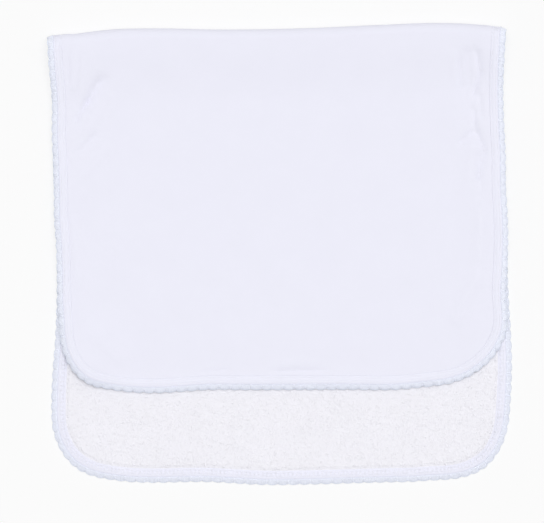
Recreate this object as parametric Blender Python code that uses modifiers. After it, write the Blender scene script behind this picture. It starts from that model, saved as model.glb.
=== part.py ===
"""A baby's burp cloth: a smooth jersey face and a terry back, bound together round the edge,
trimmed with a picot edging, and folded once across so that the terry shows below the upper flap.

Sizes are in metres. The cloth lies on z = 0 with its fold at the far side, +Y.
On the flat cloth, u runs across from left to right, and v along it: v = 0 is the fold,
v > 0 the upper flap and v < 0 the lower one. t is the height through the cloth, from the
seam plane between the two plies: t > 0 towards the jersey face, t < 0 towards the terry.
"""

import math

import bmesh
import bpy
import numpy as np

MM = 0.001

# The flat cloth, to the tips of its picot edging
CLOTH_WIDTH = 271 * MM
UPPER_LENGTH = 215 * MM
LOWER_LENGTH = 272 * MM
CORNER_RADIUS = 40 * MM

# How thick each ply is, and the space kept between two pieces
GAP = 0.5 * MM
JERSEY_THICKNESS = 1.0 * MM
TERRY_THICKNESS = 2.0 * MM
TERRY_PRESSED = 1.0 * MM
BINDING_THICKNESS = 1.0 * MM
PICOT_THICKNESS = 1.8 * MM

# Insets from the picot tips, inwards across the cloth
PICOT_DEPTH = 1.2 * MM
PICOT_ROOT = 3.0 * MM
BINDING_NOSE = 4.1 * MM
BINDING_SHOULDER = 5.4 * MM
PANEL_EDGE = 5.9 * MM
BINDING_END = 9.7 * MM
PRESSED_END = 10.0 * MM
FULL_DEPTH = 11.0 * MM

# The picot edging's scallops
SCALLOP_COUNT = 226
SCALLOP_STEPS = 3

# Places through the cloth: the plies lie either side of the seam plane, the binding round them
PLY_FACE = GAP / 2
LEG_MIDDLE = PLY_FACE + JERSEY_THICKNESS + GAP + BINDING_THICKNESS / 2
BOUND_HALF = LEG_MIDDLE + BINDING_THICKNESS / 2
JERSEY_OUTER = PLY_FACE + JERSEY_THICKNESS
TERRY_OUTER = PLY_FACE + TERRY_THICKNESS

# Where the folded cloth lies
FOLD_RADIUS = 4.5 * MM
FOLD_Y = 134.2 * MM
REST_GAP = 0.5 * MM
SETTLE_LENGTH = 48 * MM

# How far in from its edge the cloth takes to come down from the thick binding
BAND_FLAT = 11 * MM
BAND_SLOPE = 19 * MM
OVERLAP_FLAT = 15 * MM

# How the mesh is divided
COLUMNS_EACH_SIDE = 9
COLUMN_GROWTH = 1.35
CORNER_STEPS = 6
FOLD_STEPS = 8
UPPER_ROWS = 17
LOWER_ROWS = 9

# The fold line's own waviness: place across the cloth, shift towards +Y
FOLD_LINE = [
    # across, shift
    (-135, -9.4),
    (-124, -5.6),
    (-112, -2.8),
    (-95, -0.6),
    (-75, -0.2),
    (-30, -0.9),
    (20, 0.0),
    (60, 1.9),
    (95, 3.1),
    (120, 1.4),
    (135, -1.8),
]

# Each hem's waviness, in the same columns
UPPER_HEM = [
    # across, shift
    (-135, -3.0),
    (-118, -3.4),
    (-102, -1.6),
    (-88, -2.8),
    (-74, -3.1),
    (-58, -1.8),
    (-42, 0.1),
    (-20, -0.5),
    (40, -0.2),
    (70, -0.5),
    (88, 1.7),
    (103, 3.3),
    (120, 3.8),
    (135, 2.0),
]
LOWER_HEM = [
    # across, shift
    (-135, 0.2),
    (-105, 1.1),
    (-80, 0.4),
    (-45, 0.8),
    (-8, -1.0),
    (25, -0.5),
    (60, 0.9),
    (90, 2.7),
    (108, 1.4),
    (120, 0.2),
    (135, 0.6),
]

# How far each side edge leans towards +X, down the flap from the fold
UPPER_SIDES = [
    # distance, left shift, right shift
    (0, -2.8, -0.7),
    (19, -2.5, -1.4),
    (43, -0.1, -2.0),
    (78, -0.2, -0.5),
    (105, 0.6, 0.4),
    (126, 1.8, 0.7),
    (155, 2.2, 0.0),
    (178, 4.3, 0.1),
    (196, 3.0, -0.4),
    (215, 1.2, -0.6),
]
LOWER_SIDES = [
    # distance, left shift, right shift
    (0, -2.8, -0.7),
    (19, -2.2, -2.0),
    (43, 0.2, -2.8),
    (78, 0.7, -1.4),
    (126, 2.6, -0.2),
    (160, 2.8, 0.8),
    (185, 1.9, 2.2),
    (203, 0.6, 2.7),
    (225, -0.2, 2.5),
    (272, -0.4, 1.4),
]

# Soft creases in the upper flap: across and down from the fold at each end, width and height
CREASES = [
    # from across, from down, to across, to down, width, height
    (-117, 14, -124, 35, 3.8, 1.5),
    (-107, 22, -119, 46, 3.6, -1.4),
    (-101, 30, -114, 56, 4.6, 1.4),
    (-113, 60, -119, 69, 3.2, -0.5),
    (-108, 66, -116, 78, 4.6, 0.9),
    (105, 14, 108, 46, 4.8, 1.3),
    (115, 9, 117, 41, 4.4, -1.8),
    (123, 14, 124, 50, 3.6, 1.6),
    (110, 56, 115, 76, 4.6, 1.2),
    (116, 56, 120, 74, 3.4, -0.5),
    (115, 82, 114, 98, 4.6, 0.9),
    (119, 108, 118, 140, 5.5, 1.2),
    (-124, 112, -122, 150, 5.0, 0.8),
    (104, 176, 118, 152, 6.0, 1.0),
    (-112, 182, -98, 196, 6.0, 0.9),
    (-44, 203, -28, 201, 4.0, 0.8),
]

# How far from the binding and from the fold a crease takes to reach its height
CREASE_FADE = 5 * MM
FOLD_FADE = 15 * MM

# Colours and roughness
JERSEY_COLOUR = (0.84, 0.84, 0.94)
TERRY_COLOUR = (0.88, 0.87, 0.92)
BINDING_COLOUR = (0.85, 0.85, 0.94)
PICOT_COLOUR = (0.70, 0.78, 0.88)
CLOTH_ROUGHNESS = 0.9

HALF_WIDTH = CLOTH_WIDTH / 2
CORE_HALF = HALF_WIDTH - CORNER_RADIUS
UPPER_CORE = UPPER_LENGTH - CORNER_RADIUS
LOWER_CORE = LOWER_LENGTH - CORNER_RADIUS
FOLD_HALF_LENGTH = FOLD_RADIUS * math.pi / 2


def ease(x):
    """0 before 0, 1 after 1, and a smooth rise between."""
    x = np.clip(x, 0, 1)
    return x * x * (3 - 2 * x)


def from_table(table, column, places):
    """A smooth curve through one column of a table in millimetres, at places in metres."""
    knots = np.array([row[0] for row in table]) * MM
    values = np.array([row[column] for row in table]) * MM
    slopes = np.gradient(values, knots)
    places = np.clip(places, knots[0], knots[-1])
    i = np.clip(np.searchsorted(knots, places) - 1, 0, len(knots) - 2)
    span = knots[i + 1] - knots[i]
    x = (places - knots[i]) / span
    rise = values[i] + (values[i + 1] - values[i]) * x * x * (3 - 2 * x)
    return rise + span * x * (1 - x) * (slopes[i] * (1 - x) - slopes[i + 1] * x)


def to_core(u, v):
    """The nearest point of the straight-sided core that the rounded corners turn about."""
    return np.clip(u, -CORE_HALF, CORE_HALF), np.clip(v, -LOWER_CORE, UPPER_CORE)


def inset_of(u, v):
    """How far inside the outline of the picot tips a point of the flat cloth lies."""
    core_u, core_v = to_core(u, v)
    outside = CORNER_RADIUS - np.hypot(u - core_u, v - core_v)
    to_side = HALF_WIDTH - np.abs(u)
    to_hem = np.where(v > 0, UPPER_LENGTH - v, LOWER_LENGTH + v)
    return np.where(outside < CORNER_RADIUS, outside, np.minimum(to_side, to_hem))


def at_inset(u, v, inset):
    """The point of the outline at another inset, straight out from this one."""
    core_u, core_v = to_core(u, v)
    reach = np.hypot(u - core_u, v - core_v)
    scale = (CORNER_RADIUS - inset) / reach
    return core_u + (u - core_u) * scale, core_v + (v - core_v) * scale


def crease_height(u, down):
    """The soft creases of the upper flap: each a ridge or a trough that fades out at its two ends."""
    height = np.zeros_like(u)
    for from_u, from_down, to_u, to_down, width, rise in CREASES:
        start = np.array([from_u, from_down]) * MM
        along = np.array([to_u, to_down]) * MM - start
        length = np.hypot(*along)
        along = along / length
        place = (u - start[0]) * along[0] + (down - start[1]) * along[1]
        aside = (u - start[0]) * along[1] - (down - start[1]) * along[0]
        past_end = np.maximum(np.maximum(-place, place - length), 0)
        height += rise * MM * np.exp(-(aside**2 + past_end**2) / (width * MM) ** 2)
    return height


def seam_plane(u, v):
    """The folded cloth's seam plane, as points x, y, z."""
    down = np.abs(v)
    upper = v > 0
    share = (u / HALF_WIDTH + 1) / 2
    left = np.where(upper, from_table(UPPER_SIDES, 1, down), from_table(LOWER_SIDES, 1, down))
    right = np.where(upper, from_table(UPPER_SIDES, 2, down), from_table(LOWER_SIDES, 2, down))
    x = u + left * (1 - share) + right * share

    fold_shift = from_table(FOLD_LINE, 1, u)
    hem_shift = np.where(upper, from_table(UPPER_HEM, 1, u), from_table(LOWER_HEM, 1, u))
    length = np.where(upper, UPPER_LENGTH, LOWER_LENGTH)
    turn = np.clip(v / FOLD_RADIUS, -math.pi / 2, math.pi / 2)
    past_fold = np.maximum(down - FOLD_HALF_LENGTH, 0)
    turn_y = FOLD_Y - JERSEY_OUTER - FOLD_RADIUS
    y = turn_y + FOLD_RADIUS * np.cos(turn) - past_fold
    y = y + fold_shift + (hem_shift - fold_shift) * ease(past_fold / length)

    side = HALF_WIDTH - np.abs(u)
    inset = inset_of(u, v)
    from_band = 1 - ease((inset - BAND_FLAT) / BAND_SLOPE)
    from_side = 1 - ease((side - BAND_FLAT) / BAND_SLOPE)
    from_overlap = 1 - ease((side - OVERLAP_FLAT) / BAND_SLOPE)
    step = BOUND_HALF - JERSEY_OUTER
    lower_z = JERSEY_OUTER + step * from_band
    fold_z = JERSEY_OUTER + step * from_side
    hem_z = JERSEY_OUTER + 2 * TERRY_OUTER + REST_GAP
    own_rise = BOUND_HALF - TERRY_OUTER
    overlap_rise = 2 * BOUND_HALF - (JERSEY_OUTER + TERRY_OUTER)
    upper_z = hem_z + own_rise * from_band + overlap_rise * from_overlap
    settled = ease(past_fold / SETTLE_LENGTH)
    upper_z = upper_z * settled + (fold_z + 2 * FOLD_RADIUS) * (1 - settled)
    creased = ease((inset - BINDING_END) / CREASE_FADE) * ease(past_fold / FOLD_FADE)
    upper_z = upper_z + crease_height(u, down) * creased
    turning = fold_z + FOLD_RADIUS * (1 + np.sin(turn))
    z = np.where(past_fold > 0, np.where(upper, upper_z, lower_z), turning)
    return np.stack([x, y, z], axis=-1)


def lay(u, v, t):
    """Points of the folded cloth, at height t through it from the seam plane."""
    step = 0.02 * MM
    across = seam_plane(u + step, v) - seam_plane(u - step, v)
    along = seam_plane(u, v + step) - seam_plane(u, v - step)
    face = np.cross(along, across)
    face /= np.linalg.norm(face, axis=-1, keepdims=True)
    return seam_plane(u, v) + face * np.expand_dims(t, -1)


def row_places():
    """The panels' rows from the lower hem to the upper one: core v, and the corner's angle there."""
    corner = np.linspace(0, math.pi / 2, CORNER_STEPS + 1)
    lower_corner = [(-LOWER_CORE, -angle) for angle in corner[:0:-1]]
    lower = [(v, 0) for v in np.linspace(-LOWER_CORE, -FOLD_HALF_LENGTH, LOWER_ROWS + 1)]
    fold = [(v, 0) for v in np.linspace(-FOLD_HALF_LENGTH, FOLD_HALF_LENGTH, FOLD_STEPS + 1)[1:-1]]
    upper = [(v, 0) for v in np.linspace(FOLD_HALF_LENGTH, UPPER_CORE, UPPER_ROWS + 1)]
    upper_corner = [(UPPER_CORE, angle) for angle in corner[1:]]
    return lower_corner + lower + fold + upper + upper_corner


def column_shares():
    """Places across a row from -1 to 1, closer together near the two side edges."""
    widths = COLUMN_GROWTH ** np.arange(COLUMNS_EACH_SIDE)
    from_edge = np.concatenate([[0], np.cumsum(widths)]) / widths.sum()
    return np.concatenate([from_edge - 1, 1 - from_edge[-2::-1]])


def outline_stations():
    """Points round the picot tips' outline that line up with the panels' rows and columns."""
    shares = column_shares()[1:-1]
    rows = row_places()
    turns = [(CORNER_RADIUS * math.cos(angle), CORNER_RADIUS * math.sin(angle)) for _, angle in rows]
    right = [(CORE_HALF + aside, v + on) for (v, _), (aside, on) in zip(rows, turns)]
    left = [(-u, v) for u, v in right[::-1]]
    upper_hem = [(share * CORE_HALF, UPPER_LENGTH) for share in shares[::-1]]
    lower_hem = [(share * CORE_HALF, -LOWER_LENGTH) for share in shares]
    return np.array(right + upper_hem + left + lower_hem)


def flat_panel():
    """A panel inside its binding, flat: a grid whose rows follow the rounded corners."""
    rows, shares = row_places(), column_shares()
    mesh = bmesh.new()
    bmesh.ops.create_grid(mesh, x_segments=len(shares) - 1, y_segments=len(rows) - 1, size=1)
    turn = CORNER_RADIUS - FULL_DEPTH
    for vertex in mesh.verts:
        column = round((vertex.co.x + 1) / 2 * (len(shares) - 1))
        row = round((vertex.co.y + 1) / 2 * (len(rows) - 1))
        core_v, angle = rows[row]
        reach = CORE_HALF + turn * math.cos(angle)
        vertex.co = (shares[column] * reach, core_v + turn * math.sin(angle), 0)
    return mesh


def grow_to(mesh, inset):
    """Extrudes a flat panel's rim outwards to another inset."""
    rim = [edge for edge in mesh.edges if edge.is_boundary]
    grown = bmesh.ops.extrude_edge_only(mesh, edges=rim)["geom"]
    for vertex in grown:
        if isinstance(vertex, bmesh.types.BMVert):
            u, v = at_inset(vertex.co.x, vertex.co.y, inset)
            vertex.co = (u, v, 0)


def ring(points):
    """A closed strip round the cloth through points[station][place across the strip]."""
    stations, places = points.shape[:2]
    mesh = bmesh.new()
    bmesh.ops.create_grid(mesh, x_segments=places - 1, y_segments=stations, size=1)
    for vertex in mesh.verts:
        station = round((vertex.co.y + 1) / 2 * stations) % stations
        place = round((vertex.co.x + 1) / 2 * (places - 1))
        vertex.co = points[station][place]
    bmesh.ops.remove_doubles(mesh, verts=mesh.verts, dist=0.001 * MM)
    return mesh


def cloth_material(name, colour):
    made = bpy.data.materials.new(name)
    made.use_nodes = True
    shader = made.node_tree.nodes["Principled BSDF"]
    shader.inputs["Base Color"].default_value = (*colour, 1)
    shader.inputs["Roughness"].default_value = CLOTH_ROUGHNESS
    made.diffuse_color = (*colour, 1)
    return made


def cloth_object(name, mesh, collection, colour, thickness, side):
    """A surface given its thickness. side is 1 towards the jersey, -1 towards the terry, 0 both."""
    bmesh.ops.recalc_face_normals(mesh, faces=mesh.faces)
    lowest = min(mesh.faces, key=lambda face: face.calc_center_median().z)
    if lowest.normal.z > 0:
        bmesh.ops.reverse_faces(mesh, faces=mesh.faces)
    data = bpy.data.meshes.new(name)
    mesh.to_mesh(data)
    mesh.free()
    data.shade_smooth()
    data.set_sharp_from_angle(angle=math.radians(50))
    made = bpy.data.objects.new(name, data)
    made.data.materials.append(cloth_material(name, colour))
    collection.objects.link(made)
    solidify = made.modifiers.new("thickness", "SOLIDIFY")
    solidify.thickness = thickness
    solidify.offset = side
    solidify.use_even_offset = True
    return made


def panel(name, collection, colour, thickness, side):
    """One ply of the folded cloth, and its vertices' insets."""
    mesh = flat_panel()
    grow_to(mesh, PRESSED_END)
    grow_to(mesh, PANEL_EDGE)
    bmesh.ops.triangulate(mesh, faces=mesh.faces)
    flat = np.array([vertex.co[:2] for vertex in mesh.verts])
    for vertex, place in zip(mesh.verts, lay(flat[:, 0], flat[:, 1], side * PLY_FACE)):
        vertex.co = place
    return cloth_object(name, mesh, collection, colour, thickness, side), inset_of(*flat.T)


def face_panel(collection):
    """The jersey outside of the cloth."""
    panel("face_panel", collection, JERSEY_COLOUR, JERSEY_THICKNESS, 1)


def terry_panel(collection):
    """The terry inside, pressed thinner where the binding holds it."""
    made, insets = panel("terry_panel", collection, TERRY_COLOUR, TERRY_THICKNESS, -1)
    group = made.vertex_groups.new(name="thickness")
    for vertex, inset in enumerate(insets):
        pressed = inset < (PRESSED_END + FULL_DEPTH) / 2
        group.add([vertex], TERRY_PRESSED / TERRY_THICKNESS if pressed else 1, "REPLACE")
    made.modifiers["thickness"].vertex_group = group.name


def binding(collection):
    """The jersey strip that wraps both plies' edges, seen on both sides of the cloth."""
    stations = outline_stations()
    section = [
        # inset, height
        (BINDING_END, LEG_MIDDLE),
        (BINDING_SHOULDER, LEG_MIDDLE),
        (BINDING_NOSE, 0),
        (BINDING_SHOULDER, -LEG_MIDDLE),
        (BINDING_END, -LEG_MIDDLE),
    ]
    points = [lay(*at_inset(*stations.T, inset), height) for inset, height in section]
    mesh = ring(np.stack(points, axis=1))
    cloth_object("binding", mesh, collection, BINDING_COLOUR, BINDING_THICKNESS, 0)


def picot_edging(collection):
    """The crocheted edging: a strip with a row of small scallops along its outer edge."""
    stations = outline_stations()
    following = np.roll(stations, -1, axis=0)
    lengths = np.hypot(*(following - stations).T)
    starts = np.concatenate([[0], np.cumsum(lengths)])
    steps = np.arange(SCALLOP_COUNT * SCALLOP_STEPS)
    places = steps / len(steps) * starts[-1]
    run = np.searchsorted(starts, places, side="right") - 1
    share = ((places - starts[run]) / lengths[run])[:, None]
    rise = np.abs(np.sin(math.pi * steps / SCALLOP_STEPS))
    points = []
    for inset in (PICOT_ROOT, PICOT_DEPTH * (1 - rise)):
        near = lay(*at_inset(*stations[run].T, inset), 0)
        far = lay(*at_inset(*following[run].T, inset), 0)
        points.append(near + (far - near) * share)
    mesh = ring(np.stack(points, axis=1))
    cloth_object("picot_edging", mesh, collection, PICOT_COLOUR, PICOT_THICKNESS, 0)


def clear_scene():
    for old in list(bpy.data.objects):
        bpy.data.objects.remove(old)


def main():
    clear_scene()
    collection = bpy.data.collections.new("burp_cloth")
    bpy.context.scene.collection.children.link(collection)
    face_panel(collection)
    terry_panel(collection)
    binding(collection)
    picot_edging(collection)


main()
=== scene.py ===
"""A baby's burp cloth, folded once across and laid flat: jersey outside, terry inside, bound and
edged with crocheted picots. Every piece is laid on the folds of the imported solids."""

import math

import bpy
import numpy as np
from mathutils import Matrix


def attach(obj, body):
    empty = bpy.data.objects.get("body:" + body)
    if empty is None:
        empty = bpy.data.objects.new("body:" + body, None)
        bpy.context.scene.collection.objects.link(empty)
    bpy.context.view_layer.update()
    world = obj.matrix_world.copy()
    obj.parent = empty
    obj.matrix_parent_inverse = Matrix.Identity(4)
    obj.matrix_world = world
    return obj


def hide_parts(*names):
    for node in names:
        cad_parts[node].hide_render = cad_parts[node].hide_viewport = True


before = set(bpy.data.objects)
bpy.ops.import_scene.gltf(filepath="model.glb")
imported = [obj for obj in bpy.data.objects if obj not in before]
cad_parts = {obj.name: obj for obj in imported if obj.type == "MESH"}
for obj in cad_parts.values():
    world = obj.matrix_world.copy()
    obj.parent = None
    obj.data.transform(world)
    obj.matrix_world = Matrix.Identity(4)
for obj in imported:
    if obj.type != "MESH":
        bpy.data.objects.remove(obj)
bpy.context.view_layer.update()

# The jersey face: one ply of fine white cotton single jersey, cut with rounded corners. It is laid
# back to back with the terry, then the cloth is turned over on itself, so that this ply is outside
# all round the fold. What this section works out is how the whole folded cloth lies.
MM = 0.001
CLOTH_WIDTH = 271 * MM
UPPER_LENGTH = 215 * MM
LOWER_LENGTH = 272 * MM
CORNER_RADIUS = 40 * MM
PLY_FACE = 0.25 * MM
JERSEY_OUTER = 1.25 * MM
TERRY_OUTER = 2.25 * MM
BOUND_HALF = 2.3 * MM
PANEL_EDGE = 5.9 * MM
BINDING_END = 8.7 * MM
FULL_DEPTH = 11 * MM
FOLD_RADIUS = 4.5 * MM
FOLD_Y = 134.2 * MM
REST_GAP = 0.5 * MM
SETTLE_LENGTH = 38 * MM
BAND_FLAT = 11 * MM
BAND_SLOPE = 19 * MM
OVERLAP_FLAT = 15 * MM
CREASE_FADE = 3 * MM
FOLD_FADE = 15 * MM
EDGE_DROOP = 1.2 * MM
HEM_DROOP = 1.2 * MM
HEM_SETTLE = 0.6 * MM
SIDE_ZONE = 0.58
DROOP_INSET = 6.5 * MM
FOLD_LINE = [
    # across, shift
    (-135, -5.2),
    (-132.5, -5.5),
    (-131, -5.5),
    (-129.3, -5.5),
    (-127.8, -4.9),
    (-126.5, -4.5),
    (-118, -3.9),
    (-110, -2.8),
    (-95, -1.2),
    (-75, -0.7),
    (-30, -1.4),
    (20, -0.5),
    (60, 1.3),
    (95, 2.5),
    (108, 2.2),
    (120, 1.4),
    (124.5, 1.0),
    (126.5, 0.7),
    (127.8, 0.2),
    (129.3, -0.4),
    (131, -0.4),
    (132.5, -0.5),
    (135, -0.3),
]
UPPER_HEM = [
    # across, shift
    (-135, -3.0),
    (-118, -3.5),
    (-102, -1.8),
    (-88, -3.0),
    (-74, -3.4),
    (-58, -2.5),
    (-42, -1.5),
    (-20, -1.6),
    (40, -1.4),
    (70, -1.4),
    (88, 0.4),
    (103, 2.0),
    (120, 2.9),
    (135, 1.8),
]
LOWER_HEM = [
    # across, shift
    (-135, -0.5),
    (-122, -0.3),
    (-112, 1.0),
    (-101, 1.8),
    (-88, 0.7),
    (-78, 0.4),
    (-45, 0.8),
    (-8, -1.0),
    (25, -0.5),
    (60, 0.5),
    (78, 0.9),
    (90, 1.7),
    (101, 2.0),
    (110, 1.4),
    (120, 0.2),
    (135, 0.6),
]
UPPER_SIDES = [
    # distance, left shift, right shift
    (0, -2.7, -1.0),
    (19, -1.6, -2.1),
    (38, 0.1, -2.7),
    (60, 0.1, -2.1),
    (78, 0.9, -1.2),
    (97, 1.3, -1.1),
    (110, 1.4, -0.3),
    (126, 2.5, 0.2),
    (145, 3.1, -0.3),
    (160, 3.4, -1.0),
    (178, 4.5, -0.1),
    (196, 3.2, -0.4),
    (215, 1.2, -0.6),
]
LOWER_SIDES = [
    # distance, left shift, right shift
    (0, -2.7, -1.0),
    (19, -1.4, -2.2),
    (43, 0.4, -3.0),
    (78, 0.7, -1.7),
    (126, 2.8, -0.4),
    (160, 2.8, 0.6),
    (185, 1.9, 2.1),
    (203, 0.5, 2.6),
    (222, -0.3, 1.9),
    (240, 0.0, 0.7),
    (254, 0.1, 0.9),
    (272, -0.2, 1.2),
]
CREASES = [
    # from across, from down, to across, to down, left width, right width, height
    (-121.5, 9, -124, 28, 1.5, 1.5, -0.5),
    (-118, 12, -121, 32, 2.6, 1.6, 0.6),
    (-107, 31.5, -113, 41, 3.2, 2.4, -1.4),
    (-114.5, 43, -119.5, 51.5, 2.2, 1.7, -1.3),
    (-103, 41, -113, 57, 3.5, 3.5, 0.4),
    (-111, 63, -120, 71, 1.8, 2.4, -0.8),
    (-104, 72, -116, 84, 3.0, 3.0, 0.4),
    (105, 20, 108, 36, 3.0, 2.0, 0.4),
    (109.5, 24, 111, 38, 2.5, 1.6, -0.7),
    (117.3, 5, 116.2, 14, 1.9, 1.9, -1.2),
    (119, 18, 120.8, 29, 1.6, 2.8, -1.4),
    (120, 33, 117.8, 42, 1.6, 2.6, -1.3),
    (121.4, 45, 121.6, 54, 1.4, 1.8, -0.8),
    (118, 55, 117.6, 60, 1.8, 1.8, -1.2),
    (115, 65.5, 109, 71, 1.8, 2.6, -1.1),
    (119.2, 66, 121.6, 74, 1.6, 2.2, -1.3),
    (121, 79, 118.7, 92, 1.6, 2.8, -1.1),
    (115, 74, 114, 92, 2.6, 2.2, 0.4),
    (119, 108, 118, 140, 3.0, 3.0, 0.6),
    (121, 98, 119, 108, 1.5, 2.2, -0.5),
    (-124, 112, -122, 150, 3.0, 3.0, 0.5),
    (104, 176, 118, 152, 4.0, 4.0, 0.8),
    (-112, 182, -98, 196, 4.0, 4.0, 0.8),
    (-44, 204, -34, 202.5, 1.5, 1.5, -0.6),
    (-3, 203.5, 24, 203, 1.6, 1.6, -0.6),
    (114.5, 18, 115, 52, 5.5, 4.5, -1.3),
    (114, 58, 117, 70, 5.0, 4.0, -0.9),
    (118.5, 80, 118, 96, 3.5, 3.0, -0.7),
    (-104, 30, -115, 46, 4.5, 4.5, -0.9),
    (0, 200, 16, 199, 2.0, 2.6, 0.4),
]
CREASE_END = 3.0 * MM
# The upper flap's left corner stands up a little: where its middle is, across and down, in mm.
LIFTED_CORNER = (-121, 199)
CORNER_LIFT = 3.0 * MM
LIFT_REACH = 20 * MM
HALF_WIDTH = CLOTH_WIDTH / 2
CORE_HALF = HALF_WIDTH - CORNER_RADIUS
UPPER_CORE = UPPER_LENGTH - CORNER_RADIUS
LOWER_CORE = LOWER_LENGTH - CORNER_RADIUS
FOLD_HALF_LENGTH = FOLD_RADIUS * math.pi / 2
JERSEY_COLOUR = (0.84, 0.84, 0.94)


def ease(x):
    x = np.clip(x, 0, 1)
    return x * x * (3 - 2 * x)


def from_table(table, column, places):
    knots = np.array([row[0] for row in table]) * MM
    values = np.array([row[column] for row in table]) * MM
    slopes = np.gradient(values, knots)
    places = np.clip(places, knots[0], knots[-1])
    i = np.clip(np.searchsorted(knots, places) - 1, 0, len(knots) - 2)
    span = knots[i + 1] - knots[i]
    x = (places - knots[i]) / span
    rise = values[i] + (values[i + 1] - values[i]) * x * x * (3 - 2 * x)
    return rise + span * x * (1 - x) * (slopes[i] * (1 - x) - slopes[i + 1] * x)


def to_core(u, v):
    return np.clip(u, -CORE_HALF, CORE_HALF), np.clip(v, -LOWER_CORE, UPPER_CORE)


def inset_of(u, v):
    core_u, core_v = to_core(u, v)
    outside = CORNER_RADIUS - np.hypot(u - core_u, v - core_v)
    to_side = HALF_WIDTH - np.abs(u)
    to_hem = np.where(v > 0, UPPER_LENGTH - v, LOWER_LENGTH + v)
    return np.where(outside < CORNER_RADIUS, outside, np.minimum(to_side, to_hem))


def at_inset(u, v, inset):
    core_u, core_v = to_core(u, v)
    scale = (CORNER_RADIUS - inset) / np.hypot(u - core_u, v - core_v)
    return core_u + (u - core_u) * scale, core_v + (v - core_v) * scale


def crease_height(u, down):
    """Soft ridges and troughs, with their own slopes to left and right, seen from the start."""
    height = np.zeros_like(u)
    for from_u, from_down, to_u, to_down, left, right, rise in CREASES:
        start = np.array([from_u, from_down]) * MM
        along = np.array([to_u, to_down]) * MM - start
        length = np.hypot(*along)
        along = along / length
        place = (u - start[0]) * along[0] + (down - start[1]) * along[1]
        aside = (down - start[1]) * along[0] - (u - start[0]) * along[1]
        past_end = np.maximum(np.maximum(-place, place - length), 0)
        width = np.where(aside > 0, left, right) * MM
        height += rise * MM * np.exp(-((aside / width) ** 2) - (past_end / CREASE_END) ** 2)
    return height


def seam_plane(u, v):
    """Where the plane between the two plies lies, for points u across and v along the flat cloth."""
    down = np.abs(v)
    upper = v > 0
    share = (u / HALF_WIDTH + 1) / 2
    left = np.where(upper, from_table(UPPER_SIDES, 1, down), from_table(LOWER_SIDES, 1, down))
    right = np.where(upper, from_table(UPPER_SIDES, 2, down), from_table(LOWER_SIDES, 2, down))
    x = u + left * (1 - share) + right * share
    fold_shift = from_table(FOLD_LINE, 1, u)
    hem_shift = np.where(upper, from_table(UPPER_HEM, 1, u), from_table(LOWER_HEM, 1, u))
    length = np.where(upper, UPPER_LENGTH, LOWER_LENGTH)
    turn = np.clip(v / FOLD_RADIUS, -math.pi / 2, math.pi / 2)
    past_fold = np.maximum(down - FOLD_HALF_LENGTH, 0)
    turn_y = FOLD_Y - JERSEY_OUTER - FOLD_RADIUS
    y = turn_y + FOLD_RADIUS * np.cos(turn) - past_fold
    y = y + fold_shift + (hem_shift - fold_shift) * ease(past_fold / length)
    side = HALF_WIDTH - np.abs(u)
    inset = inset_of(u, v)
    from_band = 1 - ease((inset - BAND_FLAT) / BAND_SLOPE)
    from_side = 1 - ease((side - BAND_FLAT) / BAND_SLOPE)
    from_overlap = 1 - ease((side - OVERLAP_FLAT) / BAND_SLOPE)
    step = BOUND_HALF - JERSEY_OUTER
    lower_z = JERSEY_OUTER + step * from_band
    fold_z = JERSEY_OUTER + step * from_side
    hem_z = JERSEY_OUTER + 2 * TERRY_OUTER + REST_GAP
    own_rise = BOUND_HALF - TERRY_OUTER - HEM_SETTLE
    overlap_rise = 2 * BOUND_HALF - (JERSEY_OUTER + TERRY_OUTER)
    upper_z = hem_z + own_rise * from_band + overlap_rise * from_overlap
    settled = ease(past_fold / SETTLE_LENGTH)
    upper_z = upper_z * settled + (fold_z + 2 * FOLD_RADIUS) * (1 - settled)
    creased = ease((inset - BINDING_END) / CREASE_FADE) * ease(past_fold / FOLD_FADE)
    upper_z = upper_z + crease_height(u, down) * creased
    droop = np.clip(1 - inset / DROOP_INSET, 0, 1) ** 1.5 * ease(past_fold / SETTLE_LENGTH)
    from_corner = np.hypot(u - LIFTED_CORNER[0] * MM, down - LIFTED_CORNER[1] * MM)
    lifted = np.exp(-((from_corner / LIFT_REACH) ** 2))
    upper_z = upper_z + CORNER_LIFT * lifted - HEM_DROOP * droop * (1 + lifted)
    lower_z = lower_z - EDGE_DROOP * droop
    turning = fold_z + FOLD_RADIUS * (1 + np.sin(turn))
    z = np.where(past_fold > 0, np.where(upper, upper_z, lower_z), turning)
    return np.stack([x, y, z], axis=-1)


def lay(u, v, t):
    """Points of the folded cloth, at height t from the seam plane towards the jersey."""
    step = 0.02 * MM
    across = seam_plane(u + step, v) - seam_plane(u - step, v)
    along = seam_plane(u, v + step) - seam_plane(u, v - step)
    face = np.cross(along, across)
    face /= np.linalg.norm(face, axis=-1, keepdims=True)
    return seam_plane(u, v) + face * np.expand_dims(t, -1)


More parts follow.
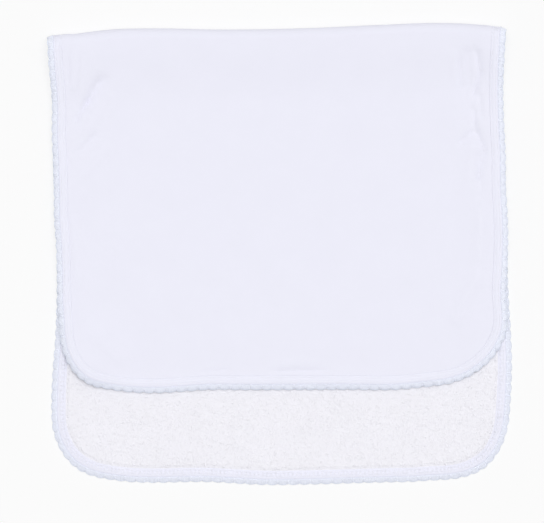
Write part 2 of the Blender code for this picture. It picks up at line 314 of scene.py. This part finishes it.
def flat_ply(side_columns, middle_columns, upper_rows, lower_rows, corner_steps, fold_steps, margins):
    """A ply's flat points, u and v, and its faces: rows that follow the corners, then a margin."""
    corner = np.linspace(0, math.pi / 2, corner_steps + 1)
    turn = CORNER_RADIUS - FULL_DEPTH
    rows = [(-LOWER_CORE, -angle) for angle in corner[:0:-1]]
    rows += [(v, 0) for v in np.linspace(-LOWER_CORE, -FOLD_HALF_LENGTH, lower_rows + 1)]
    rows += [(v, 0) for v in np.linspace(-FOLD_HALF_LENGTH, FOLD_HALF_LENGTH, fold_steps + 1)[1:-1]]
    rows += [(v, 0) for v in np.linspace(FOLD_HALF_LENGTH, UPPER_CORE, upper_rows + 1)]
    rows += [(UPPER_CORE, angle) for angle in corner[1:]]
    core_v, angle = np.array(rows).T[:, :, None]
    shares = np.linspace(SIDE_ZONE, 1, side_columns + 1)
    middle = np.linspace(-SIDE_ZONE, SIDE_ZONE, middle_columns + 1)[1:-1]
    shares = np.concatenate([-shares[::-1], middle, shares])
    u = shares * (CORE_HALF + turn * np.cos(angle))
    v = core_v + turn * np.sin(angle) + 0 * shares
    index = np.arange(u.size).reshape(u.shape)
    faces = np.stack([index[:-1, :-1], index[:-1, 1:], index[1:, 1:], index[1:, :-1]], -1)
    faces = [faces.reshape(-1, 4)]
    rim = np.concatenate([index[0, :-1], index[:-1, -1], index[-1, :0:-1], index[:0:-1, 0]])
    u, v = u.ravel(), v.ravel()
    rim_u, rim_v = u[rim], v[rim]
    for inset in margins:
        next_u, next_v = at_inset(rim_u, rim_v, inset)
        next_rim = len(u) + np.arange(len(rim))
        u, v = np.concatenate([u, next_u]), np.concatenate([v, next_v])
        sides = np.stack([rim, next_rim, np.roll(next_rim, -1), np.roll(rim, -1)], -1)
        faces.append(sides)
        rim = next_rim
    return u, v, np.concatenate(faces), rim


def mesh_object(name, points, faces, cut_places):
    """An object of these points and faces, faces out, that remembers each point's place on the cut."""
    data = bpy.data.meshes.new(name)
    data.from_pydata(points.tolist(), [], [tuple(face) for face in faces.tolist()])
    cut = data.attributes.new("cut_place", "FLOAT_VECTOR", "POINT")
    cut.data.foreach_set("vector", np.asarray(cut_places, np.float32).ravel())
    data.shade_smooth()
    made = bpy.data.objects.new(name, data)
    bpy.context.scene.collection.objects.link(made)
    return made


def closed_ply(name, u, v, faces, rim, outer_t, inner_t):
    """A ply as a closed sheet between two heights from the seam plane."""
    count = len(u)
    points = np.concatenate([lay(u, v, outer_t), lay(u, v, inner_t)])
    next_rim = np.roll(rim, -1)
    edge = np.stack([next_rim, rim, rim + count, next_rim + count], -1)
    faces = np.concatenate([faces, faces[:, ::-1] + count, edge])
    probe = points[faces[0]]
    normal = np.cross(probe[1] - probe[0], probe[3] - probe[0])
    if np.dot(normal, points[faces[0][0]] - points[faces[0][0] + count]) < 0:
        faces = faces[:, ::-1]
    places = np.stack([u, v, 0 * u], -1)
    return mesh_object(name, points, faces, np.concatenate([places, places]))


class Finish:
    """A material's node tree, with short ways to add its nodes."""

    def __init__(self, name, colour, roughness, sheen):
        self.material = bpy.data.materials.new(name)
        self.material.use_nodes = True
        self.tree = self.material.node_tree
        self.shader = self.tree.nodes["Principled BSDF"]
        self.shader.inputs["Base Color"].default_value = (*colour, 1)
        self.shader.inputs["Roughness"].default_value = roughness
        self.shader.inputs["Specular IOR Level"].default_value = 0.2
        self.shader.inputs["Sheen Weight"].default_value = sheen
        self.shader.inputs["Sheen Roughness"].default_value = 0.5

    def node(self, kind, **settings):
        made = self.tree.nodes.new(kind)
        for name, value in settings.items():
            setattr(made, name, value)
        return made

    def link(self, value, socket):
        if isinstance(value, bpy.types.NodeSocket):
            self.tree.links.new(value, socket)
        else:
            socket.default_value = value

    def maths(self, operation, first, second=0.0, third=0.0):
        made = self.node("ShaderNodeMath", operation=operation)
        for value, socket in zip((first, second, third), made.inputs):
            self.link(value, socket)
        return made.outputs[0]

    def cut_place(self):
        """Across and along the cloth as it was cut, in metres."""
        place = self.node("ShaderNodeAttribute", attribute_name="cut_place")
        parts = self.node("ShaderNodeSeparateXYZ")
        self.link(place.outputs["Vector"], parts.inputs[0])
        return place.outputs["Vector"], parts.outputs[0], parts.outputs[1]

    def noise(self, vector, scale, detail=2.0, roughness=0.5):
        made = self.node("ShaderNodeTexNoise")
        self.link(vector, made.inputs["Vector"])
        made.inputs["Scale"].default_value = scale
        made.inputs["Detail"].default_value = detail
        made.inputs["Roughness"].default_value = roughness
        return made.outputs["Fac"]

    def tint(self, amount, dark, light):
        """The colour runs from dark to light as amount runs from 0 to 1."""
        mix = self.node("ShaderNodeMix", data_type="RGBA")
        self.link(amount, mix.inputs["Factor"])
        mix.inputs[6].default_value = (*dark, 1)
        mix.inputs[7].default_value = (*light, 1)
        self.link(mix.outputs[2], self.shader.inputs["Base Color"])

    def bump(self, height, distance, strength, under=None):
        made = self.node("ShaderNodeBump")
        self.link(height, made.inputs["Height"])
        made.inputs["Distance"].default_value = distance
        made.inputs["Strength"].default_value = strength
        if under:
            self.link(under, made.inputs["Normal"])
        self.link(made.outputs[0], self.shader.inputs["Normal"])
        return made.outputs[0]


def jersey_finish(name, colour, wale, course):
    """Single jersey seen on its smooth side: wales of small V stitches, course above course."""
    finish = Finish(name, colour, 0.85, 0.1)
    place, across, along = finish.cut_place()
    wave = finish.maths("SINE", finish.maths("MULTIPLY", across, 2 * math.pi / wale))
    leg = finish.maths("ABSOLUTE", wave)
    slant = finish.maths("PINGPONG", finish.maths("DIVIDE", across, wale), 0.5)
    turn = finish.maths("MULTIPLY_ADD", slant, -7.0, finish.maths("MULTIPLY", along, 2 * math.pi / course))
    stitch = finish.maths("MULTIPLY_ADD", finish.maths("SINE", turn), 0.5, 0.5)
    knit = finish.maths("MULTIPLY", leg, finish.maths("MULTIPLY_ADD", stitch, 0.6, 0.4))
    slub = finish.noise(place, 900, 3, 0.6)
    soft = finish.noise(place, 55, 3, 0.5)
    finish.tint(soft, [c * 0.985 for c in colour], [min(c * 1.012, 1) for c in colour])
    under = finish.bump(soft, 0.6 * MM, 0.35)
    finish.bump(finish.maths("MULTIPLY_ADD", slub, 0.3, knit), 0.12 * MM, 0.5, under)
    return finish.material


ply = flat_ply(50, 36, 150, 60, 20, 16, [10.4 * MM, 9.6 * MM, 7.8 * MM, PANEL_EDGE])
face_panel = closed_ply("jersey_face", *ply, JERSEY_OUTER, PLY_FACE)
face_panel.data.materials.append(jersey_finish("jersey", JERSEY_COLOUR, 0.75 * MM, 0.55 * MM))
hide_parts("face_panel")
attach(face_panel, "root")

# The terry inside: a knitted cotton ground with a pile of small uncut loops, cut to the same shape
# and sewn to the jersey round the edge. The binding presses its pile flat. Below the upper flap's
# hem the loops stand free.
TERRY_COLOUR = (0.875, 0.868, 0.916)
GROUND_T = 2.0 * MM
PRESSED_T = 1.2 * MM
LOOP_PITCH = 1.1 * MM
LOOP_LENGTH = 1.4 * MM
LOOP_RISE = 0.18 * MM
LOOP_YARN = 0.37 * MM
LOOP_SUNK = 0.24 * MM
LOOP_ROWS = 0.87
LOOP_MARGIN = 8 * MM
COVER_EDGE = 8 * MM


def terry_finish(name, colour):
    """Soft cotton loops: rough, slightly warm, with shade between the loops."""
    finish = Finish(name, colour, 0.95, 0.15)
    place, _, _ = finish.cut_place()
    tuft = finish.noise(place, 420, 3, 0.6)
    patch = finish.noise(place, 45, 2, 0.5)
    finish.tint(patch, [c * 0.975 for c in colour], [min(c * 1.012, 1) for c in colour])
    finish.bump(tuft, 0.3 * MM, 0.2)
    return finish.material


def ground_t(u, v):
    """How thick the terry's ground is, from the pressed edge under the binding to the free middle."""
    free = ease((inset_of(u, v) - BINDING_END) / (FULL_DEPTH - BINDING_END))
    return PRESSED_T + (GROUND_T - PRESSED_T) * free


def yarn_bow_nodes():
    """Nodes that put a bent length of yarn at each point, along its chord and out along its bulge."""
    tree = bpy.data.node_groups.new("yarn_bows", "GeometryNodeTree")
    inputs = {}
    for name, kind in (
        ("Places", "Geometry"),
        ("Length", "Float"),
        ("Rise", "Float"),
        ("Yarn radius", "Float"),
        ("Bends", "Int"),
        ("Sides", "Int"),
        ("Spread", "Float"),
        ("Spin", "Float"),
        ("Seed", "Int"),
        ("Yarn", "Material"),
    ):
        socket = tree.interface.new_socket(name, in_out="INPUT", socket_type="NodeSocket" + kind)
        inputs[name] = socket.identifier
    tree.interface.new_socket("Bows", in_out="OUTPUT", socket_type="NodeSocketGeometry")
    nodes, link = tree.nodes, tree.links.new
    given = nodes.new("NodeGroupInput").outputs

    def number(operation, first, second):
        made = nodes.new("ShaderNodeMath")
        made.operation = operation
        for value, socket in zip((first, second), made.inputs):
            if isinstance(value, bpy.types.NodeSocket):
                link(value, socket)
            else:
                socket.default_value = value
        return made.outputs[0]

    def point(x, z):
        made = nodes.new("ShaderNodeCombineXYZ")
        for value, socket in ((x, made.inputs[0]), (z, made.inputs[2])):
            if value is not None:
                link(value, socket)
        return made.outputs[0]

    bow = nodes.new("GeometryNodeCurveQuadraticBezier")
    link(given["Bends"], bow.inputs["Resolution"])
    link(point(number("MULTIPLY", given["Length"], -0.5), None), bow.inputs["Start"])
    link(point(None, number("MULTIPLY", given["Rise"], 2.0)), bow.inputs["Middle"])
    link(point(number("MULTIPLY", given["Length"], 0.5), None), bow.inputs["End"])
    round_section = nodes.new("GeometryNodeCurvePrimitiveCircle")
    link(given["Sides"], round_section.inputs["Resolution"])
    link(given["Yarn radius"], round_section.inputs["Radius"])
    yarn = nodes.new("GeometryNodeCurveToMesh")
    link(bow.outputs[0], yarn.inputs["Curve"])
    link(round_section.outputs[0], yarn.inputs["Profile Curve"])
    yarn.inputs["Fill Caps"].default_value = True
    ways = []
    for name in ("chord", "bulge"):
        way = nodes.new("GeometryNodeInputNamedAttribute")
        way.data_type = "FLOAT_VECTOR"
        way.inputs["Name"].default_value = name
        ways.append(way.outputs["Attribute"])
    facing = nodes.new("FunctionNodeAxesToRotation")
    facing.primary_axis = "Z"
    facing.secondary_axis = "X"
    link(ways[1], facing.inputs["Primary Axis"])
    link(ways[0], facing.inputs["Secondary Axis"])
    spin = nodes.new("FunctionNodeRandomValue")
    spin.data_type = "FLOAT"
    link(number("MULTIPLY", given["Spin"], -1.0), spin.inputs[2])
    link(given["Spin"], spin.inputs[3])
    link(given["Seed"], spin.inputs["Seed"])
    spun = nodes.new("FunctionNodeAxisAngleToRotation")
    spun.inputs["Axis"].default_value = (0, 0, 1)
    link(spin.outputs[1], spun.inputs["Angle"])
    turned = nodes.new("FunctionNodeRotateRotation")
    turned.rotation_space = "LOCAL"
    link(facing.outputs[0], turned.inputs["Rotation"])
    link(spun.outputs[0], turned.inputs["Rotate By"])
    size = nodes.new("FunctionNodeRandomValue")
    size.data_type = "FLOAT"
    link(number("SUBTRACT", 1.0, given["Spread"]), size.inputs[2])
    link(number("ADD", given["Spread"], 1.0), size.inputs[3])
    link(number("ADD", given["Seed"], 7.0), size.inputs["Seed"])
    laid = nodes.new("GeometryNodeInstanceOnPoints")
    link(given["Places"], laid.inputs["Points"])
    link(yarn.outputs[0], laid.inputs["Instance"])
    link(turned.outputs[0], laid.inputs["Rotation"])
    link(size.outputs[1], laid.inputs["Scale"])
    whole = nodes.new("GeometryNodeRealizeInstances")
    link(laid.outputs[0], whole.inputs[0])
    dyed = nodes.new("GeometryNodeSetMaterial")
    link(whole.outputs[0], dyed.inputs["Geometry"])
    link(given["Yarn"], dyed.inputs["Material"])
    link(dyed.outputs[0], nodes.new("NodeGroupOutput").inputs[0])
    return tree, inputs


BOW_TREE, BOW_INPUTS = yarn_bow_nodes()


def yarn_bows(name, places, chord, bulge, cut_places, sizes, material):
    """One mesh of bent yarn, a bow at each place. sizes names the node tree's own inputs."""
    data = bpy.data.meshes.new(name + "_places")
    data.from_pydata(places.tolist(), [], [])
    for key, values in (("chord", chord), ("bulge", bulge), ("cut_place", cut_places)):
        attribute = data.attributes.new(key, "FLOAT_VECTOR", "POINT")
        attribute.data.foreach_set("vector", np.asarray(values, np.float32).ravel())
    guide = bpy.data.objects.new(name + "_places", data)
    bpy.context.scene.collection.objects.link(guide)
    modifier = guide.modifiers.new("bows", "NODES")
    modifier.node_group = BOW_TREE
    for key, value in {**sizes, "Yarn": material}.items():
        modifier[BOW_INPUTS[key]] = value
    bpy.context.view_layer.update()
    evaluated = guide.evaluated_get(bpy.context.evaluated_depsgraph_get())
    plain = bpy.data.meshes.new_from_object(evaluated)
    plain.name = name
    made = bpy.data.objects.new(name, plain)
    bpy.context.scene.collection.objects.link(made)
    guide.modifiers.remove(modifier)
    bpy.data.objects.remove(guide)
    plain.shade_smooth()
    return made


terry_material = terry_finish("terry", TERRY_COLOUR)
u, v, faces, rim = flat_ply(34, 36, 90, 50, 14, 16, [10.4 * MM, 9.6 * MM, 7.8 * MM, PANEL_EDGE])
terry_back = closed_ply("terry_back", u, v, faces, rim, -PLY_FACE, -ground_t(u, v))
terry_back.data.materials.append(terry_material)

rng = np.random.default_rng(11)
loops_v, loops_u = np.meshgrid(
    np.arange(-LOWER_LENGTH + LOOP_MARGIN, -UPPER_CORE, LOOP_PITCH * LOOP_ROWS),
    np.arange(-HALF_WIDTH, HALF_WIDTH, LOOP_PITCH),
    indexing="ij",
)
loops_u = loops_u + LOOP_PITCH / 2 * (np.arange(len(loops_u)) % 2)[:, None]
loops_u = (loops_u + rng.normal(0, 0.12, loops_u.shape) * LOOP_PITCH).ravel()
loops_v = (loops_v + rng.normal(0, 0.12, loops_v.shape) * LOOP_PITCH).ravel()
bare = (inset_of(loops_u, loops_v) > BINDING_END + 0.35 * MM) & (inset_of(loops_u, -loops_v) < COVER_EDGE)
loops_u, loops_v = loops_u[bare], loops_v[bare]
loop_foot = lay(loops_u, loops_v, LOOP_SUNK - ground_t(loops_u, loops_v))
loop_lean = rng.normal(0, 0.12, loop_foot.shape)
loop_up = loop_foot - lay(loops_u, loops_v, 0)
loop_up = loop_up / np.linalg.norm(loop_up, axis=1, keepdims=True) + loop_lean
loop_sizes = {
    "Length": LOOP_LENGTH,
    "Rise": LOOP_RISE,
    "Yarn radius": LOOP_YARN,
    "Bends": 3,
    "Sides": 3,
    "Spread": 0.15,
    "Spin": math.pi,
    "Seed": 3,
}
loop_chord = np.tile((1.0, 0.0, 0.0), (len(loop_foot), 1))
loop_place = np.stack([loops_u, loops_v, 0 * loops_u], -1)
loops = []
for name, half in (("terry_loops_left", loops_u < 0), ("terry_loops_right", loops_u >= 0)):
    pile = loop_foot[half], loop_chord[half], loop_up[half], loop_place[half]
    loops.append(yarn_bows(name, *pile, loop_sizes, terry_material))
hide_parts("terry_panel")
for piece in (terry_back, *loops):
    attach(piece, "root")

# The binding: a strip of the same jersey, wrapped round the raw edges of both plies and held by a
# twin-needle cover stitch, two straight rows on the outside and a looped thread between them within.
BINDING_COLOUR = (0.852, 0.855, 0.955)
STITCH_ROWS = [(5.45 * MM, 1.96 * MM), (7.8 * MM, 1.6 * MM)]
LOOPER_T = 2.05 * MM
BINDING_SECTION = [
    # inset, height from the seam plane
    (8.85, 1.26),
    (8.9, 1.34),
    (8.7, 1.46),
    (8.35, 1.56),
    (8.05, 1.6),
    (7.8, 1.54),
    (7.55, 1.66),
    (7.1, 1.88),
    (6.7, 2.02),
    (6.3, 2.08),
    (5.9, 2.08),
    (5.65, 2.02),
    (5.45, 1.92),
    (5.2, 1.99),
    (4.7, 1.95),
    (4.25, 1.78),
    (3.9, 1.45),
    (3.5, 0.95),
    (3.25, 0.4),
]
BINDING_WITHIN = [
    # inset, height from the seam plane
    (5.5, 1.26),
    (5.0, 0.8),
    (4.8, 0.3),
]
LINE_LENGTH = 2 * (UPPER_CORE + LOWER_CORE) + 4 * CORE_HALF + 2 * math.pi * CORNER_RADIUS
BINDING_STEP = 1.9 * MM
PUCKER = 0.05 * MM
PUCKERED_T = 1.7 * MM
THREAD_COLOUR = (0.92, 0.92, 0.99)
STITCH_LENGTH = 2.5 * MM
THREAD_RADIUS = 0.14 * MM


def edge_line(distance, inset):
    """Flat places at a distance round the picot tips' outline, from the lower right corner."""
    quarter = CORNER_RADIUS * math.pi / 2
    side = UPPER_CORE + LOWER_CORE
    runs = [
        # start u, start v, way or centre's angle, length
        (HALF_WIDTH, -LOWER_CORE, (0, 1), side),
        (CORE_HALF, UPPER_CORE, 0, quarter),
        (CORE_HALF, UPPER_LENGTH, (-1, 0), 2 * CORE_HALF),
        (-CORE_HALF, UPPER_CORE, 90, quarter),
        (-HALF_WIDTH, UPPER_CORE, (0, -1), side),
        (-CORE_HALF, -LOWER_CORE, 180, quarter),
        (-CORE_HALF, -LOWER_LENGTH, (1, 0), 2 * CORE_HALF),
        (CORE_HALF, -LOWER_CORE, 270, quarter),
    ]
    distance = np.asarray(distance, float) % LINE_LENGTH
    u, v = np.zeros_like(distance), np.zeros_like(distance)
    start = 0
    for from_u, from_v, way, length in runs:
        here = (distance >= start) & (distance <= start + length)
        on = distance[here] - start
        if isinstance(way, tuple):
            u[here], v[here] = from_u + way[0] * on, from_v + way[1] * on
        else:
            angle = math.radians(way) + on / CORNER_RADIUS
            u[here] = from_u + CORNER_RADIUS * np.cos(angle)
            v[here] = from_v + CORNER_RADIUS * np.sin(angle)
        start += length
    return at_inset(u, v, inset)


def by_edge(distance, inset, t):
    """Points of the laid cloth by distance round its edge, inset and height."""
    return lay(*edge_line(distance, inset), t)


def edge_frame(distance, inset, t):
    """A point by the edge, with the way along the edge, the way out of it and the way up."""
    step = 0.05 * MM
    along = by_edge(distance + step, inset, t) - by_edge(distance - step, inset, t)
    outward = by_edge(distance, inset - step, t) - by_edge(distance, inset + step, t)
    up = by_edge(distance, inset, t + step) - by_edge(distance, inset, t - step)
    ways = [way / np.linalg.norm(way, axis=1, keepdims=True) for way in (along, outward, up)]
    return by_edge(distance, inset, t), *ways


def edge_tube(name, stations, section, pucker=None):
    """A closed strip round the whole edge, of one section given as insets and heights."""
    count, around = len(stations), len(section)
    points, places = [], []
    for inset, t in section:
        if pucker is not None:
            t = t - np.sign(t) * pucker * (abs(t) > PUCKERED_T)
        points.append(by_edge(stations, inset, t))
        round_strip = np.full(count, inset + abs(section[0][1]) - t)
        places.append(np.stack([stations, round_strip, 0 * stations], -1))
    points, places = np.stack(points, 1).reshape(-1, 3), np.stack(places, 1).reshape(-1, 3)
    index = np.arange(count * around).reshape(count, around)
    on, over = np.roll(index, -1, 0), np.roll(index, -1, 1)
    faces = np.stack([index, over, np.roll(on, -1, 1), on], -1).reshape(-1, 4)
    return mesh_object(name, points, faces, places)


outer = [(inset * MM, t * MM) for inset, t in BINDING_SECTION]
within = [(inset * MM, t * MM) for inset, t in BINDING_WITHIN]
section = outer + [(3.15 * MM, 0.0)] + [(inset, -t) for inset, t in outer[::-1]]
section += [(inset, -t) for inset, t in within] + within[::-1]
stations = np.arange(0, LINE_LENGTH, BINDING_STEP)
pull = 1 + np.sin(stations / MM * 1.9) * 0.5 + np.sin(stations / MM * 0.83 + 1) * 0.5
binding = edge_tube("binding_strip", stations, section, pull * PUCKER)
binding.data.materials.append(jersey_finish("binding", BINDING_COLOUR, 0.75 * MM, 0.55 * MM))

thread = Finish("sewing_thread", THREAD_COLOUR, 0.7, 0.05)
ply_twist = thread.noise(thread.node("ShaderNodeTexCoord").outputs["Object"], 2500, 1)
thread.bump(ply_twist, 0.05 * MM, 0.4)
stitch_count = round(LINE_LENGTH / STITCH_LENGTH)
stitch_at = (np.arange(stitch_count) + 0.5) * LINE_LENGTH / stitch_count
threads = []
stitch_sizes = {
    "Length": STITCH_LENGTH * 0.92,
    "Rise": 0.1 * MM,
    "Yarn radius": THREAD_RADIUS,
    "Bends": 3,
    "Sides": 4,
    "Spread": 0.05,
    "Spin": 0.04,
    "Seed": 5,
}
for side_name, side in (("face", 1), ("back", -1)):
    foot, chord, up = [], [], []
    for inset, t in STITCH_ROWS:
        at, along, _, rise = edge_frame(stitch_at, inset, t * side)
        foot.append(at)
        chord.append(along)
        up.append(rise * side)
    if side < 0:
        (outer_row, _), (inner_row, _) = STITCH_ROWS
        here, _, _, rise = edge_frame(stitch_at, (outer_row + inner_row) / 2, -LOOPER_T)
        for lean in (-1, 1):
            reach = by_edge(stitch_at + lean * STITCH_LENGTH / 2, outer_row, -LOOPER_T)
            reach = reach - by_edge(stitch_at, inner_row, -LOOPER_T)
            foot.append(here + 0 * reach)
            chord.append(reach)
            up.append(-rise)
    foot, chord, up = (np.concatenate(rows) for rows in (foot, chord, up))
    threads.append(yarn_bows("stitches_" + side_name, foot, chord, up, foot, stitch_sizes, thread.material))
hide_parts("binding")
for piece in (binding, *threads):
    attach(piece, "root")

# The picot edging: pale-blue cotton yarn sewn over the bound edge in small shells. Seven threads of
# each shell come out of the binding, pass round a core and go back in on the other side, and a
# twisted cord runs along their tips, its colour a darker blue yarn deepened with painted rim shade.
PICOT_COLOUR = (0.865, 0.89, 1.0)
# The cord's colour is partly a darker blue yarn and partly painted shade where the scalloped outer rim
# curls down.
CORD_DYE_AND_RIM_SHADE = (0.79, 0.84, 0.93)
SHELL_COUNT = 226
SHELL_THREADS = 7
SHELL_PITCH = LINE_LENGTH / SHELL_COUNT
TIP_INSET = 0.6 * MM
NOTCH_DEPTH = 0.85 * MM
YARN_RADIUS = 0.37 * MM
CORD_RADIUS = 0.34 * MM
CORD_TWIST = 0.17 * MM
CORD_TURN = 1.6 * MM
SHELL_SIDE = [
    # inset from the tips, height from the seam plane
    (4.0, 1.6),
    (3.8, 1.76),
    (3.35, 1.56),
    (2.8, 1.28),
    (2.2, 1.02),
    (1.5, 0.76),
]
CORE_SECTION = [
    # share of the way in from the tips, height from the seam plane
    (0.0, 0.0),
    (0.12, 0.58),
    (0.4, 1.08),
    (0.75, 1.56),
    (0.93, 1.78),
    (1.0, 1.55),
]
CORE_END = 3.9 * MM


def yarn_finish(name, colour):
    """Soft mercerised cotton yarn, its plies catching the light."""
    finish = Finish(name, colour, 0.75, 0.1)
    place = finish.node("ShaderNodeTexCoord").outputs["Object"]
    finish.tint(finish.noise(place, 260, 2), [c * 0.95 for c in colour], [min(c * 1.03, 1) for c in colour])
    finish.bump(finish.noise(place, 1800, 2, 0.6), 0.1 * MM, 0.4)
    return finish.material


def yarn_path_nodes():
    """Nodes that run yarn of one thickness along every line of edges."""
    tree = bpy.data.node_groups.new("yarn_paths", "GeometryNodeTree")
    inputs = {}
    for name, kind in (
        ("Paths", "Geometry"),
        ("Yarn radius", "Float"),
        ("Sides", "Int"),
        ("Yarn", "Material"),
    ):
        socket = tree.interface.new_socket(name, in_out="INPUT", socket_type="NodeSocket" + kind)
        inputs[name] = socket.identifier
    tree.interface.new_socket("Yarns", in_out="OUTPUT", socket_type="NodeSocketGeometry")
    nodes, link = tree.nodes, tree.links.new
    given = nodes.new("NodeGroupInput").outputs
    lines = nodes.new("GeometryNodeMeshToCurve")
    link(given["Paths"], lines.inputs["Mesh"])
    round_section = nodes.new("GeometryNodeCurvePrimitiveCircle")
    link(given["Sides"], round_section.inputs["Resolution"])
    link(given["Yarn radius"], round_section.inputs["Radius"])
    spun = nodes.new("GeometryNodeCurveToMesh")
    link(lines.outputs[0], spun.inputs["Curve"])
    link(round_section.outputs[0], spun.inputs["Profile Curve"])
    spun.inputs["Fill Caps"].default_value = True
    whole = nodes.new("GeometryNodeRealizeInstances")
    link(spun.outputs[0], whole.inputs[0])
    dyed = nodes.new("GeometryNodeSetMaterial")
    link(whole.outputs[0], dyed.inputs["Geometry"])
    link(given["Yarn"], dyed.inputs["Material"])
    link(dyed.outputs[0], nodes.new("NodeGroupOutput").inputs[0])
    return tree, inputs


PATH_TREE, PATH_INPUTS = yarn_path_nodes()


def yarn_paths(name, lines, closed, radius, sides, material):
    """One mesh of yarn along lines, an array of line by point by place."""
    count, length = lines.shape[:2]
    index = np.arange(count * length).reshape(count, length)
    edges = np.stack([index[:, :-1], index[:, 1:]], -1).reshape(-1, 2)
    if closed:
        edges = np.concatenate([edges, index[:, [-1, 0]]])
    data = bpy.data.meshes.new(name + "_lines")
    data.from_pydata(lines.reshape(-1, 3).tolist(), edges.tolist(), [])
    guide = bpy.data.objects.new(name + "_lines", data)
    bpy.context.scene.collection.objects.link(guide)
    modifier = guide.modifiers.new("yarn", "NODES")
    modifier.node_group = PATH_TREE
    for key, value in (("Yarn radius", radius), ("Sides", sides), ("Yarn", material)):
        modifier[PATH_INPUTS[key]] = value
    bpy.context.view_layer.update()
    evaluated = guide.evaluated_get(bpy.context.evaluated_depsgraph_get())
    plain = bpy.data.meshes.new_from_object(evaluated)
    plain.name = name
    made = bpy.data.objects.new(name, plain)
    bpy.context.scene.collection.objects.link(made)
    guide.modifiers.remove(modifier)
    bpy.data.objects.remove(guide)
    plain.shade_smooth()
    return made


def shell_tip(distance):
    """How far in the shells' outline lies, all round the edge."""
    return TIP_INSET + NOTCH_DEPTH * (1 - np.abs(np.sin(math.pi * distance / SHELL_PITCH)) ** 0.8)


yarn = yarn_finish("picot_yarn", PICOT_COLOUR)
core_at = np.arange(0, SHELL_COUNT * 10) * SHELL_PITCH / 10
core_rim = shell_tip(core_at)
core_ring = []
for share, t in CORE_SECTION + [(share, -t) for share, t in CORE_SECTION[:0:-1]]:
    core_ring.append(by_edge(core_at, core_rim + (CORE_END - core_rim) * share, t * MM))
points = np.stack(core_ring, 1).reshape(-1, 3)
index = np.arange(len(points)).reshape(len(core_at), -1)
on = np.roll(index, -1, 0)
faces = np.stack([index, np.roll(index, -1, 1), np.roll(on, -1, 1), on], -1).reshape(-1, 4)
picot_core = mesh_object("picot_core", points, faces, points)
picot_core.data.materials.append(yarn)

thread_count = SHELL_COUNT * SHELL_THREADS
thread_at = (np.arange(thread_count) + 0.5) / thread_count * LINE_LENGTH
shell_middle = (np.floor(thread_at / SHELL_PITCH) + 0.5) * SHELL_PITCH
rng = np.random.default_rng(29)
jitter = rng.normal(0, 0.04 * MM, thread_count)
thread_tip = shell_tip(thread_at)
thread_points = []
for inset, t in SHELL_SIDE:
    gather = 0.86 + 0.14 * (SHELL_SIDE[0][0] - inset) / SHELL_SIDE[0][0]
    at = shell_middle + (thread_at - shell_middle) * gather + jitter
    thread_points.append((at, np.maximum(inset * MM, thread_tip + 0.5 * MM), t * MM))
thread_points.append((thread_at + jitter, thread_tip + 0.2 * MM, 0.4 * MM))
back = [(at + 0.35 * MM, inset, -t) for at, inset, t in thread_points[::-1]]
line = [by_edge(at, inset, t) for at, inset, t in thread_points]
line += [by_edge(thread_at + jitter, thread_tip, 0)]
line += [by_edge(at, inset, t) for at, inset, t in back]
shells = yarn_paths("picot_shells", np.stack(line, 1), False, YARN_RADIUS, 4, yarn)

cord_at = np.arange(0, SHELL_COUNT * 12) * SHELL_PITCH / 12
cord_phase = cord_at / LINE_LENGTH * round(LINE_LENGTH / CORD_TURN) * 2 * math.pi
strands = []
for lag in (0, math.pi):
    inset = shell_tip(cord_at) + CORD_TWIST * np.cos(cord_phase + lag)
    strands.append(by_edge(cord_at, inset, CORD_TWIST * np.sin(cord_phase + lag)))
# The cord's yarn: darker blue dye plus painted shade along the outer rim.
cord_yarn_and_rim_shade = yarn_finish("cord_yarn_and_rim_shade", CORD_DYE_AND_RIM_SHADE)
cord = yarn_paths("picot_cord", np.stack(strands), True, CORD_RADIUS, 5, cord_yarn_and_rim_shade)
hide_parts("picot_edging")
for piece in (picot_core, shells, cord):
    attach(piece, "root")

# The floor and the light: a plain pale table top under a broad soft light from overhead.
FLOOR_SIZE = 3.0
FLOOR_GLOW = 0.648
LIGHT_STRENGTH = 1.73
LIGHT_SPREAD = math.radians(50)
LIGHT_TILT = (math.radians(-7), math.radians(3), 0)
ROOM_LIGHT = 0.495
bpy.ops.mesh.primitive_plane_add(size=FLOOR_SIZE, location=(0, 0, 0))
floor = bpy.context.object
floor.name = "floor"
floor_finish = Finish("pale_floor", (0.3, 0.3, 0.3), 0.9, 0.0)
floor_finish.shader.inputs["Emission Color"].default_value = (1, 1, 1, 1)
floor_finish.shader.inputs["Emission Strength"].default_value = FLOOR_GLOW
floor.data.materials.append(floor_finish.material)

sky = bpy.data.lights.new("softbox", "SUN")
sky.energy = LIGHT_STRENGTH
sky.angle = LIGHT_SPREAD
softbox = bpy.data.objects.new("softbox", sky)
softbox.rotation_euler = LIGHT_TILT
bpy.context.scene.collection.objects.link(softbox)
world = bpy.data.worlds.new("room")
world.use_nodes = True
world.node_tree.nodes["Background"].inputs[0].default_value = (1, 1, 1, 1)
world.node_tree.nodes["Background"].inputs[1].default_value = ROOM_LIGHT
bpy.context.scene.world = world
bpy.context.scene.view_settings.view_transform = "Standard"

# The camera: straight above, the fold at the top of the picture.
VIEW_WIDTH = 322.8 * MM
VIEW_MIDDLE = (-4.6 * MM, -4.6 * MM)
CAMERA_HEIGHT = 3.2
SENSOR_WIDTH = 36
camera_data = bpy.data.cameras.new("camera")
camera_data.sensor_width = SENSOR_WIDTH
camera_data.lens = SENSOR_WIDTH * CAMERA_HEIGHT / VIEW_WIDTH
camera = bpy.data.objects.new("camera", camera_data)
camera.location = (*VIEW_MIDDLE, CAMERA_HEIGHT)
bpy.context.scene.collection.objects.link(camera)
bpy.context.scene.camera = camera
